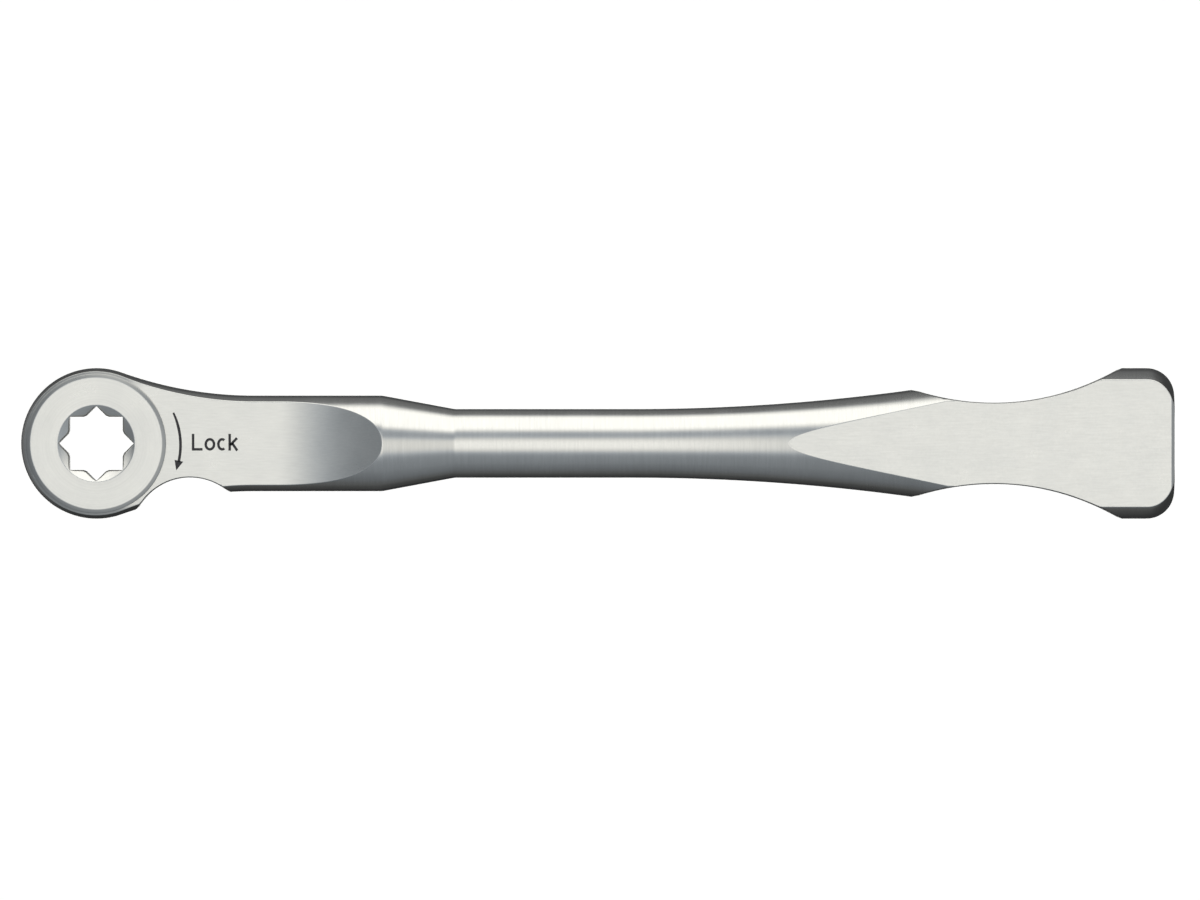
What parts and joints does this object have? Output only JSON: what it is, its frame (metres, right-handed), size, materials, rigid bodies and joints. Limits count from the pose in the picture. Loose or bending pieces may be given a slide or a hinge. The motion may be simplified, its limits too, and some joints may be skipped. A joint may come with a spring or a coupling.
{
  "type": "dental ratchet wrench",
  "caption": "Slim steel ratchet wrench with a ball-shaped head, an eight-pointed through socket in a one-way wheel, a round rod and a flat waisted paddle handle.",
  "frame": {"origin": "on the table under the middle of the wrench's outline, with the wrench lying on its back", "axes": "+X along the handle from the ratchet head to the paddle, +Y across the handle away from the small scallop, +Z out of the front face, along the wheel's axis"},
  "size_m": [0.088, 0.0116, 0.0073],
  "materials": {
    "satin_steel": "turned and satin-polished stainless steel with fine turning lines, milled faces softly ground",
    "ground_steel": "finely ground stainless steel",
    "hardened_steel": "hardened and ground steel",
    "spring_steel": "drawn spring steel"
  },
  "bodies": {
    "handle": {"wrench_body": "satin_steel", "pawl_pin": "hardened_steel", "pawl_spring": "spring_steel"},
    "wheel": {"ratchet_wheel": "ground_steel", "rear_flange": "ground_steel", "snap_ring": "spring_steel"},
    "pawl": {"pawl": "hardened_steel"}
  },
  "joints": [
    {"name": "wheel_spin", "type": "hinge", "parent": "handle", "child": "wheel", "pos_m": [-0.03825, 0, 0.00365], "axis": [0, 0, 1], "continuous": true},
    {"name": "pawl_pivot", "type": "hinge", "parent": "handle", "child": "pawl", "pos_m": [-0.03207, 0.00086, 0.00365], "axis": [0, 0, 1], "range_deg": [0, 7], "stiffness_Nm_per_rad": 0.002, "springref_deg": -20.05, "deforming": ["pawl_spring"]}
  ]
}
